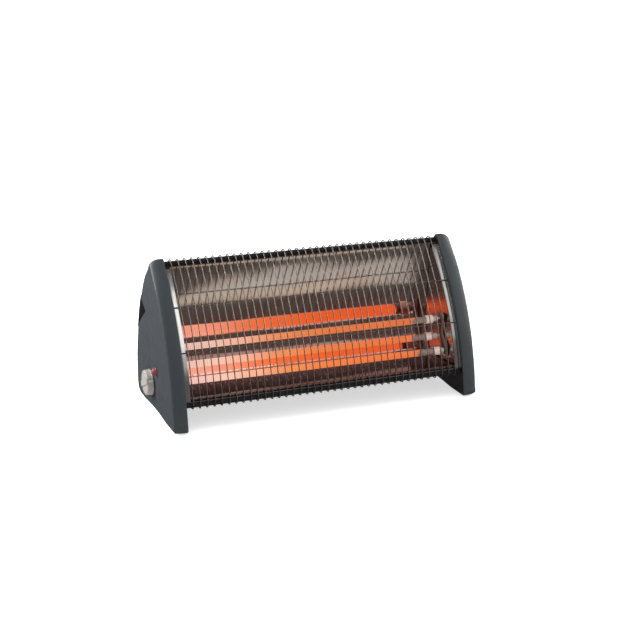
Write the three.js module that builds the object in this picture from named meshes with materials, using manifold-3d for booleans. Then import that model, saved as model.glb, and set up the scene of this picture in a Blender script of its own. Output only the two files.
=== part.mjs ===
// Freestanding halogen heater: two arch-shaped end caps carry a black steel housing,
// a polished reflector with three quartz tubes and a curved wire grille.
// Millimetres, +Z up. Working frame: X = 0 midway between the caps, Y = 0 at the
// caps' front foot and growing to the rear, Z = 0 on the floor. The root group moves
// that frame so that the origin is the middle of the whole footprint.
import * as THREE from 'three';
import { mergeVertices } from 'three/addons/utils/BufferGeometryUtils.js';
import Module from 'manifold-3d';

const wasm = await Module();
wasm.setup();

// ---------------------------------------------------------------- driving sizes
const HALF = 230;          // half of the clear width between the caps
const CAP_T = 23;          // thickness of a cap
const CAP_WALL = 2.5;      // moulded wall of a cap
const CAP_EDGE = 3.5;      // rounding of a cap's outer edge
const DEPTH = 218.5;       // front foot to rear of a cap
const PAD_T = 1.2;         // rubber foot thickness
const BASE_Z = 1.5;        // underside of a cap over its feet
const GAP = 0.35;          // clearance between touching pieces
const PITCH = 11.5;        // spacing of the vertical wires
const WIRES = 39;
const WIRE_R = 1.0;
const SHEET = 1.0;         // sheet metal thickness
const KNOB_D = 40, KNOB_H = 12.6;
const KNOB_Y = 125.5, KNOB_Z = 46.5;
const LAMP_Y = 93, LAMP_Z = 73.5, LAMP_D = 12, LAMP_H = 6;
const GRIP_DEPTH = 14;     // depth of the hand recess
const GRIP_RIM = 3;        // rim that closes the recess along the cap's rear edge
const TUBES = [            // centre lines (y, z) and shift along X
  { y: 62, z: 118, dx: 0 },
  { y: 62, z: 89.2, dx: 0 },
  { y: 44, z: 69.2, dx: 6 },
];
const TUBE_R = 5.2, TUBE_BORE = 4.2;
const CER_R = 6.8, CER_NECK = 4.4;
const TIP_Y = 84;          // tip-over plunger
const FRONT_Y = 0.6;         // foremost point of the caps

// cap outline, front foot up to the crown, down the rear and back along the base
const FRONT = [[0.6, 6], [2.5, 17.3], [5.3, 34.5], [8.6, 51.8], [12.7, 69], [17.5, 86.3], [23.3, 103.5],
  [30.4, 120.8], [38.4, 138], [47.5, 155.3], [57.8, 172.5], [69.5, 189.8], [82.6, 207], [97.6, 224.3],
  [105.6, 233.6], [110.4, 239.2], [114.6, 243], [118.8, 244], [123, 242.2], [127, 238]];
const REAR = [[131.5, 231.8], [140, 224.3], [149.5, 215.2], [158.2, 204.6], [165.6, 193.8], [172.5, 182.9],
  [179.2, 172.3], [185.2, 162], [190.2, 151.5], [194.8, 140.3], [199.4, 128.3], [204.1, 115.5], [210, 96],
  [214.4, 79], [217.4, 63], [218.4, 46], [218.5, 28], [217.6, 16], [213.8, 8], [206, 3.2], [197, BASE_Z]];
const BASE = [[167, BASE_Z], [150, 2.5], [130, 3.6], [109, 4.1], [88, 3.8], [68, 2.7], [50, BASE_Z], [9, BASE_Z], [3.2, 2.4]];
const OUTLINE = [...FRONT, ...REAR, ...BASE];

// the grille's front line (wire centres), bottom to top
const GRILLE = [[12.3, 39], [12.9, 44], [16.5, 60], [21.8, 80], [28.4, 100], [36.8, 120], [46.8, 140], [58.4, 160],
  [71.4, 180], [85.4, 200], [99.8, 219], [108.6, 230], [115.2, 237.0]];
// fewer points for the wires and the strips beside them
const LINE = [0, 3, 6, 8, 11, 12].map((i) => GRILLE[i]);
// the reflector's inner surface, top to lip
const REFL = [[115.8, 227.8], [114.6, 200], [113, 170], [111.6, 145], [110, 127], [107, 106], [103, 88], [98.6, 76],
  [93, 66.4], [84, 58.6], [71, 54], [50, 51.6], [30, 50.8], [19, 50.4]];

// ---------------------------------------------------------------- geometry helpers
const YZ_TO_X = new THREE.Matrix4().makeBasis(new THREE.Vector3(0, 1, 0), new THREE.Vector3(0, 0, 1), new THREE.Vector3(1, 0, 0));

function area(p) {
  let a = 0;
  for (let i = 0; i < p.length; i++) { const q = p[(i + 1) % p.length]; a += p[i][0] * q[1] - q[0] * p[i][1]; }
  return a / 2;
}
const ccw = (p) => (area(p) < 0 ? [...p].reverse() : p);

// closed outline moved inwards by d (outwards when d is negative)
function inset(points, d) {
  const p = ccw(points), n = p.length, out = [];
  for (let i = 0; i < n; i++) {
    const a = p[(i + n - 1) % n], b = p[i], c = p[(i + 1) % n];
    const e1 = norm([b[0] - a[0], b[1] - a[1]]), e2 = norm([c[0] - b[0], c[1] - b[1]]);
    const n1 = [-e1[1], e1[0]], n2 = [-e2[1], e2[0]];
    const m = norm([n1[0] + n2[0], n1[1] + n2[1]]);
    const k = d / Math.max(0.5, m[0] * n1[0] + m[1] * n1[1]);
    out.push([b[0] + m[0] * k, b[1] + m[1] * k]);
  }
  return out;
}
function norm(v) { const l = Math.hypot(v[0], v[1]) || 1; return [v[0] / l, v[1] / l]; }

// open line moved sideways by d (to its left)
function side(p, d) {
  return p.map((b, i) => {
    const a = p[Math.max(0, i - 1)], c = p[Math.min(p.length - 1, i + 1)];
    const e1 = norm(i ? [b[0] - a[0], b[1] - a[1]] : [c[0] - b[0], c[1] - b[1]]);
    const e2 = norm(i < p.length - 1 ? [c[0] - b[0], c[1] - b[1]] : [b[0] - a[0], b[1] - a[1]]);
    const n1 = [-e1[1], e1[0]], n2 = [-e2[1], e2[0]], m = norm([n1[0] + n2[0], n1[1] + n2[1]]);
    const k = d / Math.max(0.5, m[0] * n1[0] + m[1] * n1[1]);
    return [b[0] + m[0] * k, b[1] + m[1] * k];
  });
}
// band polygon between two offsets of an open line
const band = (line, d0, d1) => [...side(line, d0), ...side(line, d1).reverse()];

// YZ outline pushed along X from x0 to x1
function slab(points, x0, x1) {
  const g = new THREE.ExtrudeGeometry(new THREE.Shape(ccw(points).map((p) => new THREE.Vector2(p[0], p[1]))), { depth: x1 - x0, bevelEnabled: false, steps: 1 });
  g.applyMatrix4(YZ_TO_X);
  g.translate(x0, 0, 0);
  return g;
}
// turned piece about an axis along X: profile of [x, r], centre line at (y, z)
function turned(profile, y, z, seg = 16) {
  const g = new THREE.LatheGeometry(profile.map((p) => new THREE.Vector2(p[1], p[0])), seg);
  g.rotateZ(-Math.PI / 2);            // lathe's +Y becomes +X
  g.translate(0, y, z);
  return g;
}
// turned piece about a vertical axis: profile of [r, z]
function turnedZ(profile, x, y, seg = 16) {
  const g = new THREE.LatheGeometry(profile.map((p) => new THREE.Vector2(p[0], p[1])), seg);
  g.rotateX(Math.PI / 2);
  g.translate(x, y, 0);
  return g;
}
// turned piece about an axis along Y: profile of [r, y]
function turnedY(profile, x, z, seg = 16) {
  const g = new THREE.LatheGeometry(profile.map((p) => new THREE.Vector2(p[0], p[1])), seg);
  g.translate(x, 0, z);
  return g;
}
function block(x0, x1, y0, y1, z0, z1) {
  const g = new THREE.BoxGeometry(x1 - x0, y1 - y0, z1 - z0);
  g.translate((x0 + x1) / 2, (y0 + y1) / 2, (z0 + z1) / 2);
  return g;
}
function lead(points, r, steps) {
  const curve = new THREE.CatmullRomCurve3(points.map((p) => new THREE.Vector3(...p)), false, 'centripetal');
  const ring = [];
  for (let i = 0; i < 8; i++) ring.push(new THREE.Vector2(r * Math.cos(i * Math.PI / 4), r * Math.sin(i * Math.PI / 4)));
  return new THREE.ExtrudeGeometry(new THREE.Shape(ring), { steps, bevelEnabled: false, extrudePath: curve });
}
function solid(geo) {
  let g = geo.clone();
  g.deleteAttribute('normal'); g.deleteAttribute('uv');
  g = mergeVertices(g, 1e-4);
  let idx = Array.from(g.index.array);
  const keep = [];
  for (let i = 0; i < idx.length; i += 3) {
    const [a, b, c] = [idx[i], idx[i + 1], idx[i + 2]];
    if (a !== b && b !== c && a !== c) keep.push(a, b, c);
  }
  let m = new wasm.Manifold(new wasm.Mesh({ numProp: 3, vertProperties: new Float32Array(g.attributes.position.array), triVerts: new Uint32Array(keep) }));
  if (m.volume() < 0) {
    for (let i = 0; i < keep.length; i += 3) { const t = keep[i]; keep[i] = keep[i + 1]; keep[i + 1] = t; }
    m = new wasm.Manifold(new wasm.Mesh({ numProp: 3, vertProperties: new Float32Array(g.attributes.position.array), triVerts: new Uint32Array(keep) }));
  }
  return m;
}
function geometry(man) {
  const m = man.getMesh();
  const g = new THREE.BufferGeometry();
  const pos = new Float32Array(m.numVert * 3);
  for (let i = 0; i < m.numVert; i++) for (let k = 0; k < 3; k++) pos[i * 3 + k] = m.vertProperties[i * m.numProp + k];
  g.setAttribute('position', new THREE.BufferAttribute(pos, 3));
  g.setIndex(new THREE.BufferAttribute(new Uint32Array(m.triVerts), 1));
  g.computeVertexNormals();
  return g;
}
const cut = (a, ...bs) => geometry(bs.reduce((m, b) => m.subtract(solid(b)), solid(a)));
const join = (a, ...bs) => geometry(bs.reduce((m, b) => m.add(solid(b)), solid(a)));
// mirror image across X = 0
function mirrored(geo) {
  const g = geo.index ? geo.toNonIndexed() : geo.clone();
  const p = g.attributes.position;
  for (let i = 0; i < p.count; i++) p.setX(i, -p.getX(i));
  for (let i = 0; i < p.count; i += 3) {
    for (const k of ['X', 'Y', 'Z']) { const t = p['get' + k](i + 1); p['set' + k](i + 1, p['get' + k](i + 2)); p['set' + k](i + 2, t); }
  }
  g.deleteAttribute('normal'); if (g.attributes.uv) g.deleteAttribute('uv');
  const q = mergeVertices(g, 1e-4);
  q.computeVertexNormals();
  return q;
}

// ---------------------------------------------------------------- materials
const mat = (color, roughness, metalness, extra = {}) => new THREE.MeshStandardMaterial({ color, roughness, metalness, ...extra });
const M = {
  cap: mat(0x4a5154, 0.55, 0.0),
  black_plastic: mat(0x1c1e20, 0.6, 0.0),
  black_steel: mat(0x151414, 0.45, 0.3),
  reflector: mat(0xb9a99a, 0.22, 1.0),
  strip: mat(0xd6d8d8, 0.25, 1.0),
  chrome: mat(0xcfc9c0, 0.25, 1.0),
  quartz: mat(0xffc9a0, 0.1, 0.0, { emissive: 0xff7a30, emissiveIntensity: 0.8 }),
  coil: mat(0xff8a40, 0.6, 0.5, { emissive: 0xff6a20, emissiveIntensity: 1.5 }),
  ceramic: mat(0xece6dc, 0.6, 0.0),
  knob: mat(0xb2ada6, 0.5, 0.0),
  lamp: mat(0x8c1f2a, 0.2, 0.0),
  rubber: mat(0x202020, 0.9, 0.0),
  brass: mat(0xb08a48, 0.35, 1.0),
  steel: mat(0x9a9c9e, 0.35, 1.0),
  insulation: mat(0xd8d2c4, 0.7, 0.0),
  switch_plastic: mat(0x6b2a20, 0.6, 0.0),
};

const root = new THREE.Group();
root.position.set(KNOB_H / 2, -(FRONT_Y + DEPTH) / 2, 0);
const groups = { left: new THREE.Group(), right: new THREE.Group(), body: new THREE.Group(), heat: new THREE.Group() };
groups.left.position.x = -HALF;      // local x = 0 on the left cap's inner side, outwards is -x
groups.right.position.x = HALF;      // local x = 0 on the right cap's inner side, outwards is +x
for (const g of Object.values(groups)) root.add(g);
function add(group, name, geo, material) {
  const m = new THREE.Mesh(geo, material);
  m.name = name;
  group.add(m);
  return m;
}

// ---------------------------------------------------------------- end caps
// rear hand recess, a V whose point looks forward
const GRIP = [[145.5, 154.6], [179.5, 174.6], [200, 186.7], [245, 186], [245, 92], [214, 92.5], [204.5, 113.5]];
const bx = CAP_EDGE;
function capOuter() {
  const shape = new THREE.Shape(ccw(OUTLINE).map((p) => new THREE.Vector2(p[0], p[1])));
  const g = new THREE.ExtrudeGeometry(shape, { depth: CAP_T - bx + 1, bevelEnabled: true, bevelThickness: bx, bevelSize: bx, bevelOffset: -bx, bevelSegments: 2, steps: 1 });
  g.applyMatrix4(YZ_TO_X);
  g.translate(-CAP_T + bx, 0, 0);
  return solid(g).subtract(solid(block(0, 20, -20, 260, -20, 280)));
}
function capShell(extraCuts) {
  let m = capOuter().subtract(solid(slab(inset(OUTLINE, CAP_WALL), -CAP_T + CAP_WALL, 5)));
  m = m.subtract(solid(slab(GRIP, -CAP_T - 5, -CAP_T + GRIP_DEPTH)));
  for (const c of extraCuts) m = m.subtract(solid(c));
  return geometry(m);
}
const leftCuts = [
  turned([[-40, 0], [-40, 5.6], [-10, 5.6], [-10, 0]], KNOB_Y, KNOB_Z, 16),
  turned([[-40, 0], [-40, 4.5], [-10, 4.5], [-10, 0]], LAMP_Y, LAMP_Z, 12),
  turnedZ([[0, -5], [3.3, -5], [3.3, 12], [0, 12]], -11.5, TIP_Y, 12),
];
add(groups.left, 'left_end_cap', capShell(leftCuts), M.cap);
add(groups.right, 'right_end_cap', mirrored(capShell([])), M.cap);

// black insert that lines the recess: two sloping walls, a floor and a rim along the cap's outline
function gripInsert() {
  const v = inset(GRIP, GAP);
  const hollow = inset(GRIP, GAP + 2);
  let m = solid(slab(v, -CAP_T + 0.8, -CAP_T + GRIP_DEPTH - GAP));
  m = m.intersect(solid(slab(inset(OUTLINE, 0.15), -40, 10)));
  m = m.intersect(capOuter());
  const pocket = solid(slab(hollow, -40, -CAP_T + GRIP_DEPTH - GAP - 2)).intersect(solid(slab(inset(OUTLINE, GRIP_RIM), -60, 30)));
  return geometry(m.subtract(pocket));
}
add(groups.left, 'left_grip_insert', gripInsert(), M.black_plastic);
add(groups.right, 'right_grip_insert', mirrored(gripInsert()), M.black_plastic);

// black sheet that closes the inner side of a cap
const plateLine = inset(OUTLINE, CAP_WALL + GAP);
add(groups.left, 'left_inner_plate', cut(slab(plateLine, -1.6, -0.4),
  ...TUBES.map((t) => turned([[-10, 0], [-10, CER_R + 0.5], [10, CER_R + 0.5], [10, 0]], t.y, t.z, 12)),
  turned([[-10, 0], [-10, 2.6], [10, 2.6], [10, 0]], 60, 43, 8)), M.black_steel);
add(groups.right, 'right_inner_plate', mirrored(slab(plateLine, -1.6, -0.4)), M.black_steel);

// rubber feet under the flat ends of each cap's base
for (const [side_, g, s] of [['left', groups.left, -1], ['right', groups.right, 1]]) {
  for (const [end, y0, y1] of [['front', 13, 45], ['rear', 170, 196]]) {
    const xs = [s * 4.5, s * 18.5].sort((a, b) => a - b);
    add(g, `foot_${end}_${side_}`, block(xs[0], xs[1], y0, y1, 0, PAD_T), M.rubber);
  }
}

// ---------------------------------------------------------------- knob, switch and lamp on the left cap
const face = -CAP_T;                 // outer face in the left group's frame
{
  const r = KNOB_D / 2, t = face - KNOB_H;
  const body = turned([[face - 0.5, 0], [face - 0.5, r], [face - 3.2, r], [face - 4.0, r - 1.2], [t + 1.6, r - 3.4], [t + 0.9, r - 4.6], [t + 0.9, 0]], KNOB_Y, KNOB_Z, 32);
  const bar = slab([[KNOB_Y - r + 0.3, KNOB_Z - 3.4], [KNOB_Y + r - 1.2, KNOB_Z - 4.2], [KNOB_Y + r - 1.2, KNOB_Z + 4.2], [KNOB_Y - r + 0.3, KNOB_Z + 3.4]], t, face - 2.0);
  const under = turned([[face + 2, 0], [face + 2, 9.5], [face - 3.2, 9.5], [face - 3.2, 3.3], [face - 10.4, 3.3], [face - 10.4, 0]], KNOB_Y, KNOB_Z, 16);
  add(groups.left, 'control_knob', geometry(solid(body).add(solid(bar)).subtract(solid(under))), M.knob);
  add(groups.left, 'control_shaft', turned([[face - 10, 0], [face - 10, 2.9], [face + 7.5, 2.9], [face + 7.5, 0]], KNOB_Y, KNOB_Z, 12), M.steel);
}
{
  const x0 = face + CAP_WALL + GAP;
  const box = block(x0, -7.5, KNOB_Y - 14, KNOB_Y + 14, KNOB_Z - 14, KNOB_Z + 14);
  const neck = turned([[face - 2.7, 0], [face - 2.7, 5.0], [x0 + 1, 5.0], [x0 + 1, 0]], KNOB_Y, KNOB_Z, 16);
  const bore = turned([[face - 5, 0], [face - 5, 3.25], [face + 8, 3.25], [face + 8, 0]], KNOB_Y, KNOB_Z, 12);
  add(groups.left, 'rotary_switch_body', geometry(solid(box).add(solid(neck)).subtract(solid(bore))), M.switch_plastic);
  const hex = [];
  for (let i = 0; i < 6; i++) hex.push([KNOB_Y + 8 * Math.cos(i * Math.PI / 3), KNOB_Z + 8 * Math.sin(i * Math.PI / 3)]);
  add(groups.left, 'switch_nut', cut(slab(hex, face - 2.3, face - GAP), turned([[face - 9, 0], [face - 9, 5.35], [face + 9, 5.35], [face + 9, 0]], KNOB_Y, KNOB_Z, 16)), M.steel);
}
{
  const r = LAMP_D / 2, dome = [[face - GAP, 0], [face - GAP, r], [face - 1.6, r]];
  for (let i = 1; i <= 5; i++) { const a = i * Math.PI / 10; dome.push([face - 1.6 - (LAMP_H - 1.6) * Math.sin(a), i === 5 ? 0 : (r - 0.5) * Math.cos(a)]); }
  const lens = turned(dome, LAMP_Y, LAMP_Z, 20);
  const neck = turned([[face - 1, 0], [face - 1, 4.1], [face + 4, 4.1], [face + 4, 0]], LAMP_Y, LAMP_Z, 12);
  add(groups.left, 'pilot_lamp_lens', join(lens, neck), M.lamp);
  add(groups.left, 'pilot_lamp_body', turned([[face + 4.35, 0], [face + 4.35, 4.6], [face + 13, 4.6], [face + 14.5, 3], [face + 14.5, 0]], LAMP_Y, LAMP_Z, 12), M.black_plastic);
}

// ---------------------------------------------------------------- tip-over switch in the left cap's base
{
  const x = -11.5;
  add(groups.left, 'tip_over_switch_body', cut(block(x - 6.5, x + 6.5, TIP_Y - 11, TIP_Y + 11, 12.5, 33),
    turnedZ([[0, 0], [4.3, 0], [4.3, 30], [0, 30]], x, TIP_Y, 12)), M.switch_plastic);
  add(groups.left, 'tip_over_plunger', turnedZ([[0, 0], [4.2, 0], [4.8, 0.6], [4.8, 2.6], [2.9, 3.2], [2.9, 13.5], [3.8, 13.6], [3.8, 18], [0, 18]], x, TIP_Y, 12), M.black_plastic);
  add(groups.left, 'tip_over_spring', turnedZ([[2.6, 18.4], [3.5, 18.4], [3.5, 29.5], [2.6, 29.5], [2.6, 18.4]], x, TIP_Y, 12), M.steel);
}

// ---------------------------------------------------------------- terminal block in the left cap
{
  const b = block(-17.5, -4.5, 158, 196, 52, 68);
  const slots = [164.5, 177, 189.5].map((y) => turned([[-30, 0], [-30, 2.6], [-8, 2.6], [-8, 0]], y, 60, 8));
  add(groups.left, 'terminal_block', cut(b, ...slots), M.insulation);
}

// ---------------------------------------------------------------- housing
{
  const edge = HALF - 0.6;
  // outer line of the shell: front flange, rounded top, then down parallel to the caps' rear line
  const rearLine = side([[124.5, 238.2], ...REAR.slice(0, 17)], -4.2);      // inwards of the cap outline
  const rl = rearLine.filter((p) => p[1] < 232 && p[1] > 31);
  const line = [[119.2, 229.2], [119.2, 236.0], [120.6, 237.9], [123.6, 237.9], [127.5, 234.8], ...rl, [214.2, 35]];
  let m = solid(slab(band(line, 0, -SHEET), -edge, edge));
  // rows of vent slots
  const rows = [[0.30, 7], [0.42, 7], [0.54, 7]];
  const at = (f) => { const k = f * (rl.length - 1), i = Math.floor(k), u = k - i; const a = rl[i], b = rl[Math.min(i + 1, rl.length - 1)]; return [[a[0] + (b[0] - a[0]) * u, a[1] + (b[1] - a[1]) * u], norm([b[0] - a[0], b[1] - a[1]])]; };
  for (const [f, h] of rows) {
    const [p, d] = at(f);
    const n = [d[1], -d[0]];
    for (let i = 0; i < 9; i++) {
      const xc = -168 + i * 42;
      const q = (s, t) => [p[0] + d[0] * s + n[0] * t, p[1] + d[1] * s + n[1] * t];
      m = m.subtract(solid(slab([q(-h / 2, -6), q(h / 2, -6), q(h / 2, 6), q(-h / 2, 6)], xc - 14, xc + 14)));
    }
  }
  // hole for the cord gland
  m = m.subtract(solid(turnedY([[0, 190], [6.3, 190], [6.3, 230], [0, 230]], -196, 46, 12)));
  // screws that hold the housing to the side plates' flanges, heads on the rear
  const screw = (profile, p, n, x) => {
    const g = new THREE.LatheGeometry(profile.map((q) => new THREE.Vector2(...q)), 12);
    g.rotateX(Math.atan2(n[1], n[0]));
    g.translate(x, p[0], p[1]);
    return g;
  };
  let k = 1;
  for (const [x, z] of [[-221, 60], [221, 60], [-221, 188], [221, 188]]) {
    const i = rl.findIndex((q, j) => j > 0 && q[1] <= z), a = rl[i - 1], b = rl[i], u = (z - a[1]) / (b[1] - a[1]);
    const d = norm([b[0] - a[0], b[1] - a[1]]), n = [-d[1], d[0]], p = [a[0] + (b[0] - a[0]) * u, z];
    m = m.subtract(solid(screw([[0, -8], [1.9, -8], [1.9, 8], [0, 8]], p, n, x)));
    add(groups.body, `housing_screw_${k++}`, screw([[0, -7], [1.5, -7], [1.5, 0.35], [3.4, 0.35], [3.2, 1.4], [1.8, 2.0], [0, 2.0]], p, n, x), M.steel);
  }
  add(groups.body, 'rear_housing', geometry(m), M.black_steel);
  const bline = [[15.6, 44.4], [15.6, 37.4], [17.2, 35.8], [208, 35.8], [212.6, 35.8], [212.6, 38.0]];
  let b = solid(slab(band(bline, 0, SHEET), -edge, edge));
  for (let r = 0; r < 2; r++) for (let i = 0; i < 8; i++) {
    b = b.subtract(solid(block(-171 + i * 49 - 16, -171 + i * 49 + 16, 120 + r * 24, 126 + r * 24, 28, 44)));
  }
  add(groups.body, 'bottom_panel', geometry(b), M.black_steel);
}
// cord gland with a through bore; the heater is modelled without its cord
add(groups.body, 'cord_gland', turnedY([[4.2, 206.5], [6.0, 206.5], [6.0, 214.8], [8.6, 214.8], [8.6, 217.2], [4.2, 217.6], [4.2, 206.5]], -196, 46, 16), M.black_plastic);
// ---------------------------------------------------------------- reflector and its ends
{
  const edge = HALF - 9.6;
  const line = [...REFL, [17.6, 49.4], [17.4, 42.0]];
  const flange = [[115.8, 227.8], [115.6, 230.6]];
  let m = solid(slab(band([flange[1], ...line], 0, SHEET), -edge, edge));
  m = m.subtract(solid(turnedZ([[0, 40], [2.6, 40], [2.6, 62], [0, 62]], 216, 52, 8)));
  add(groups.body, 'reflector', geometry(m), M.reflector);
}
function reflectorEnd(holes) {
  const front = [[14.6, 44], ...LINE.slice(1, 5)];
  const f1 = side(front, -3.3), f2 = side(front, -4.3);
  const strip = slab([...f1, ...f2.reverse()], 0.7, 8.6);
  const back = [[112.5, 226], [111.5, 200], [110, 170], [108.6, 145], [107, 127], [104, 106], [100, 88], [95, 77], [90, 68], [82, 61.6], [70, 57.4], [50, 55.2], [30, 54.4], [22, 54.2]];
  const pf = [[20.1, 54.2], ...side(front, -3.8).slice(1, 4), [107.6, 225.8]];
  const plate = slab([...pf, ...back], 7.7, 8.6);
  let m = solid(strip).add(solid(plate));
  for (const h of holes) m = m.subtract(solid(h));
  return geometry(m);
}
add(groups.left, 'left_reflector_end', reflectorEnd(TUBES.map((t) => turned([[2, 0], [2, 6], [20, 6], [20, 0]], t.y, t.z, 12))), M.strip);
add(groups.right, 'right_reflector_end', mirrored(reflectorEnd([])), M.strip);
// overheat cut-out on the reflector's back
add(groups.body, 'thermal_cutout', (() => { const g = new THREE.LatheGeometry([[0, 0], [8, 0], [8, 4], [5, 4.6], [5, 8], [0, 8]].map((p) => new THREE.Vector2(...p)), 14); g.translate(-150, 116.7, 200); return g; })(), M.insulation);

// ---------------------------------------------------------------- tubes
TUBES.forEach((t, k) => {
  const n = k + 1, dx = t.dx;
  const xl = -HALF, xr = HALF, xn = Math.min(xr - 22 + dx, xr - 18.4);
  const q0 = xl + 0.6 + dx, q1 = xr - 36.6 + dx;
  add(groups.heat, `quartz_tube_${n}`, turned([[q0, TUBE_BORE], [q0, TUBE_R], [q1, TUBE_R], [q1, TUBE_BORE], [q0, TUBE_BORE]], t.y, t.z, 16), M.quartz);
  add(groups.heat, `heating_coil_${n}`, turned([[xl + 0.9 + dx, 0], [xl + 0.9 + dx, 0.7], [xl + 15, 0.7], [xl + 15.6, 2.3], [xr - 67.6 + dx * 0.5, 2.3], [xr - 67 + dx * 0.5, 0.7], [xr - 36.8 + dx, 0.7], [xr - 36.8 + dx, 0]], t.y, t.z, 8), M.coil);
  // ceramic ends: a socket for the tube, a narrower neck and a terminal stud
  add(groups.heat, `ceramic_left_${n}`, turned([[xl - 17.5, 0], [xl - 17.5, 1.5], [xl - 14, 1.5], [xl - 14, CER_NECK], [xl - 10, CER_NECK], [xl - 10, CER_R], [xl + 6.8, CER_R], [xl + 6.8, TUBE_R + 0.4], [xl + 0.2, TUBE_R + 0.4], [xl + 0.2, 0]], t.y, t.z, 16), M.ceramic);
  add(groups.heat, `ceramic_right_${n}`, turned([[xr - 43 + dx, TUBE_R + 0.4], [xr - 43 + dx, CER_R], [xr - 31 + dx, CER_R], [xr - 31 + dx, CER_NECK], [xn, CER_NECK], [xn, 1.5], [xr - 13.4, 1.5], [xr - 13.4, 0], [xr - 36.2 + dx, 0], [xr - 36.2 + dx, TUBE_R + 0.4], [xr - 43 + dx, TUBE_R + 0.4]], t.y, t.z, 16), M.ceramic);
});
// brackets: left one inside the cap behind the side plate, right one on the reflector end
{
  const line = TUBES.map((t) => [t.y, t.z]);
  const strap = [[52, 130], [72, 130], [73, 84], [56, 58], [33, 58], [34, 78], [51, 96]];
  const holes = TUBES.map((t) => turned([[-400, 0], [-400, CER_R + 0.4], [400, CER_R + 0.4], [400, 0]], t.y, t.z, 12));
  add(groups.left, 'left_tube_bracket', cut(slab(strap, -5.2, -4.0), ...holes), M.steel);
  const small = TUBES.map((t) => turned([[-400, 0], [-400, 2.0], [400, 2.0], [400, 0]], t.y, t.z, 8));
  const sr = [[52, 126], [70, 126], [70, 84], [54, 61], [36, 61], [37, 77], [53, 94]];
  const plate = slab(sr, -15.6, -14.6), foot = slab([[56, 104], [66, 104], [66, 101], [56, 101]], -15, -8.95);
  add(groups.right, 'right_tube_bracket', geometry(solid(plate).add(solid(foot)).subtract(solid(small[0])).subtract(solid(small[1])).subtract(solid(small[2]))), M.steel);
  const ss = [[58.5, 121], [65.5, 121], [65.5, 87], [48, 66], [41, 66], [41, 72], [58.5, 92]];
  add(groups.right, 'right_terminal_strip', cut(slab(ss, -17.4, -16.2), ...small), M.brass);
}
// leads: three from the rotary switch to the tubes, one return under the reflector
{
  const x = -11.5;
  add(groups.left, 'supply_lead_1', lead([[x, 131, 61.2], [x, 131, 72], [x, 126, 96], [x, 104, 114], [x - 1.5, 82, 118.5], [x - 4, 67.5, 118]], 1.1, 14), M.insulation);
  add(groups.left, 'supply_lead_2', lead([[x, 124, 61.2], [x, 123, 70], [x, 114, 88], [x, 94, 95], [x - 2, 78, 91.5], [x - 4, 67.5, 89.2]], 1.1, 14), M.insulation);
  add(groups.left, 'supply_lead_3', lead([[x, 111, 50], [x, 100, 51], [x, 80, 56], [x, 62, 64.5], [x - 4, 49.5, 69.2]], 1.1, 12), M.insulation);
  add(groups.body, 'return_lead', lead([[216, 52, 59.8], [216, 52, 54], [216, 52, 48], [213.5, 54, 44.4], [205, 58, 43], [190, 60, 43], [0, 60, 43], [-190, 60, 43], [-224, 60, 43], [-236, 60, 43], [-241, 62, 43]], 1.2, 40), M.insulation);
}

// ---------------------------------------------------------------- front grille
{
  const keep = [[30, 34.2], [17.5, 34.2], [13.4, 36.2], ...LINE, [119.0, 239.8], [124.6, 239.8], [130.4, 235.6]];
  const one = slab(band(keep, WIRE_R * 0.9, -WIRE_R * 0.9), -WIRE_R * 0.9, WIRE_R * 0.9);
  let m = null;
  for (let i = 1; i <= WIRES; i++) {
    const g = one.clone(); g.translate(-HALF + PITCH * i, 0, 0);
    const s = solid(g);
    m = m ? m.add(s) : s;
  }
  const on = (z) => { for (let i = 1; i < keep.length; i++) { const a = keep[i - 1], b = keep[i]; if (a[1] <= z && b[1] > z && b[0] < 118) { const u = (z - a[1]) / (b[1] - a[1]); const d = norm([b[0] - a[0], b[1] - a[1]]); return [a[0] + (b[0] - a[0]) * u + d[1] * 1.5, a[1] + (b[1] - a[1]) * u - d[0] * 1.5]; } } return null; };
  for (const z of [46, 117, 179, 232.5]) {
    const [y, zz] = on(z), r = 1.0;
    m = m.add(solid(slab([[y - r, zz], [y, zz - r], [y + r, zz], [y, zz + r]], -HALF + 0.5, HALF - 0.5)));
  }
  add(groups.body, 'front_grille', geometry(m), M.chrome);
}

export default root;
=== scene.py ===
"""Looks of a freestanding halogen heater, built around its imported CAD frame.
Working frame of the numbers below: millimetres, X = 0 midway between the end caps,
Y = 0 at the caps' front foot, Z = 0 on the floor. P() takes them to the model's metres."""

import math

import bmesh
import bpy
import numpy as np
from mathutils import Matrix, Vector, noise


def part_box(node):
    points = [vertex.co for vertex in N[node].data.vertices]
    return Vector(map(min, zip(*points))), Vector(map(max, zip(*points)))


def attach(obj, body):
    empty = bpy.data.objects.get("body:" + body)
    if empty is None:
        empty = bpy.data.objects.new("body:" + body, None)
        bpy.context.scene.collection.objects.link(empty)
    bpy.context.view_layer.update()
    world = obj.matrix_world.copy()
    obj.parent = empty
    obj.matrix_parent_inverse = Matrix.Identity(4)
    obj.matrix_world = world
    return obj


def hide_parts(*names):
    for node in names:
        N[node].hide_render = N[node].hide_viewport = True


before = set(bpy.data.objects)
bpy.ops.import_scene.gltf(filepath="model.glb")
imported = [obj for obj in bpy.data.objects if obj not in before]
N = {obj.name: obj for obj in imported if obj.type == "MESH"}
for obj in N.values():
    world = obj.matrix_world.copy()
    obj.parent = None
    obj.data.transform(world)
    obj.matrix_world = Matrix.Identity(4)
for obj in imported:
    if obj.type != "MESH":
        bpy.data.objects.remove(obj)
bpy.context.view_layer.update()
SX, SY = 6.3, -109.55
HALF, CAP_T = 230.0, 23.0


def P(x, y, z):
    return ((x + SX) / 1000.0, (y + SY) / 1000.0, z / 1000.0)


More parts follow.
